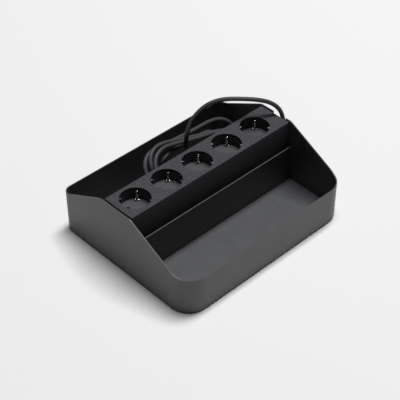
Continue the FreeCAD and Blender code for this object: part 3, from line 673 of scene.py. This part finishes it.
def makeWell(setup):
    inner, depth, plate = setup["inner"], setup["depth"], bar["topPlate"]
    outer, under = inner + setup["wall"], -depth - setup["floor"]
    piece = rod("well", Vector((0, 0, under)) * mm, outer * mm, (-plate - under) * mm, roundSides)
    carve(piece, rod("collar", Vector((0, 0, -plate - setup["collarThickness"])) * mm,
                     setup["collar"] * mm, setup["collarThickness"] * mm, roundSides), "UNION")
    room = rod("room", Vector((0, 0, -depth)) * mm, inner * mm, depth * mm, roundSides)
    edit(room)
    bevelPicked(room, lambda edge: level(edge, -depth * mm), setup["fillet"] * mm, 4)
    done()
    carve(piece, room)
    tip, half = inner - setup["ribDepth"], setup["ribWidth"] / 2
    for side in (-1, 1):
        ends = sorted((side * tip, side * (inner + setup["ribSink"])))
        rib = block("rib", Vector((ends[0], -half, -depth - setup["ribFoot"])) * mm,
                    Vector((ends[1], half, -setup["ribTop"])) * mm)
        edit(rib)
        bevelPicked(rib, lambda edge: level(edge, -setup["ribTop"] * mm) and
                    near(edge.verts[0].co.y, edge.verts[1].co.y), setup["ribRound"] * mm, 8)
        bevelPicked(rib, lambda edge: all(near(end.co.x, side * tip * mm) for end in edge.verts),
                    setup["ribSideRound"] * mm, 3)
        done()
        carve(piece, rib, "UNION")
    foot = -depth - setup["toolDrop"]
    half = setup["clipWidth"] / 2 + setup["slotGap"]
    for side in (-1, 1):
        carve(piece, rod("pin_tool", Vector((side * setup["pinReach"], 0, foot)) * mm,
                         setup["pinHole"] * mm, setup["toolLength"] * mm, holeSides))
        rows = sorted((side * (setup["clipReach"] + setup["slotGap"]),
                       side * (setup["clipReach"] - setup["slotDepth"])))
        carve(piece, block("slot_tool", Vector((-half, rows[0], foot)) * mm,
                           Vector((half, rows[1], setup["slotTop"] - depth)) * mm))
    softEdges(piece, setup["edge"] * mm, 60)
    return piece


# Side contacts: up each side of the well a crowned tongue bent to a nose, with a root block and
# two leaning stops at its foot. A step of the tongue is its way inwards and its rise
clip = {
    "width": 3, "thickness": 1.5, "foot": -19, "footHeight": 0.8, "round": 0.16,
    "steps": [(0, 6.2), (-0.3, 1.2), (-0.85, 1.3), (-0.75, 1.1), (-0.3, 0.8), (0.1, 0.6),
              (0.3, 0.5), (0.1, 0.6), (0.35, 0.6), (0.7, 0.8), (0.5, 0.7)],
    "root": {"inwards": 0.25, "outwards": 0.55, "low": -20.8, "high": -18.4},
    "stop": {"apart": 1.7, "radius": 1, "height": 3.5, "round": 0.72, "lean": 20, "inwards": 0.6},
}


def makeTongue(setup, side, reach):
    piece = rod("tongue", Vector((0, 0, setup["foot"])) * mm, setup["width"] / 2 * mm,
                setup["footHeight"] * mm, 28)
    edit(piece)
    bpy.ops.mesh.select_all(action="SELECT")
    bpy.ops.transform.resize(value=(1, setup["thickness"] / setup["width"], 1),
                             center_override=(0, 0, 0))
    bpy.ops.transform.translate(value=(0, side * reach * mm, 0))
    pick(piece, "FACE", lambda face: face.normal.z > 0.9)
    for inward, rise in setup["steps"]:
        push((0, side * inward * mm, rise * mm))
    bpy.ops.mesh.bevel(offset=setup["round"] * mm, segments=3, affect="EDGES")
    done()
    return piece


def makeStop(setup, foot, side, offset, reach):
    lean = math.radians(setup["lean"])
    way = Vector((0, -side * math.sin(lean), math.cos(lean)))
    start = Vector((offset, side * (reach - setup["inwards"]), foot)) * mm
    stop = rod("stop", start, setup["radius"] * mm, setup["height"] * mm, 20, way)
    edit(stop)
    tip = (start + way * setup["height"] * mm).dot(way)
    bevelPicked(stop, lambda edge: all(near(end.co.dot(way), tip) for end in edge.verts),
                setup["round"] * mm, 4)
    done()
    return stop


def makeClip(setup):
    parts = []
    root, stop, half = setup["root"], setup["stop"], well["clipWidth"] / 2
    reach = well["clipReach"] - setup["thickness"] / 2
    for side in (-1, 1):
        parts.append(makeTongue(setup, side, reach))
        rows = sorted((side * (reach - root["inwards"]), side * (reach + root["outwards"])))
        parts.append(block("clip_root", Vector((-half, rows[0], root["low"])) * mm,
                           Vector((half, rows[1], root["high"])) * mm))
        parts += [makeStop(stop, setup["foot"], side, offset, reach)
                  for offset in (-stop["apart"], stop["apart"])]
    return join("clip", *parts)


masterWell, masterClip = makeWell(well), makeClip(clip)
turn = math.radians(well["turn"])
for number, x in enumerate(bar["sockets"], start=1):
    place = spot(x, bar["middle"], bar["top"])
    dress(copyOf(masterWell, f"well_cup_{number}", turn, place), glossWithPaintedShade,
          f"socket_well_{number}")
    dress(copyOf(masterClip, f"side_contact_{number}", turn, place), nickel,
          f"earth_clip_{number}")
for master in (masterWell, masterClip):
    bpy.data.objects.remove(master)
print("sockets set")

# The frame's own solids that stay: their finishes
kept = {
    "socket_shelf": coat, "bar_base": shellPlastic, "cord_sheath_end": sheath,
    "cord_clamp": shellPlastic, "strain_relief": softRubber,
    "plug_body": plugPlastic, "plug_pins": nickel, "plug_earth_strips": nickel,
    "line_busbar": brass, "neutral_busbar": brass, "earth_busbar": brass,
    "housing_screws": zinc, "clamp_screws": zinc, **cores,
    **{f"foot_{number}": footRubber for number in range(1, 5)},
    **{f"magnet_{number}": nickel for number in range(1, 5)},
}
for name, material in kept.items():
    nodes[name].data.materials.clear()
    nodes[name].data.materials.append(material)
print("inner pieces finished")

# Studio, in metres and watts: a pale floor, one long softbox high up to the right, a weak sky
studio = {
    "floor": {"colour": (0.76, 0.76, 0.76), "roughness": 0.95, "specular": 0.1, "size": 8},
    "sky": 0.02,
    "softbox": {"place": (1.25, 0.1, 6), "length": 3.6, "width": 1.4, "power": 458},
}


def makeStudio(setup):
    only()
    table = setup["floor"]
    bpy.ops.mesh.primitive_plane_add(size=table["size"], location=(0, 0, 0))
    floor = named("floor")
    finish = Finish("floor")
    finish.set(Base_Color=table["colour"], Roughness=table["roughness"],
               Specular_IOR_Level=table["specular"])
    floor.data.materials.append(finish.material)
    world = bpy.data.worlds.new("sky")
    bpy.context.scene.world = world
    world.use_nodes = True
    world.node_tree.nodes["Background"].inputs["Color"].default_value = (1, 1, 1, 1)
    world.node_tree.nodes["Background"].inputs["Strength"].default_value = setup["sky"]
    softbox = setup["softbox"]
    lamp = bpy.data.lights.new("strip_softbox", "AREA")
    lamp.shape = "RECTANGLE"
    lamp.size, lamp.size_y, lamp.energy = softbox["length"], softbox["width"], softbox["power"]
    aimed("strip_softbox", lamp, softbox["place"], (0, 0, -1))
    bpy.context.scene.view_settings.view_transform = "Standard"


makeStudio(studio)
print("studio lit")
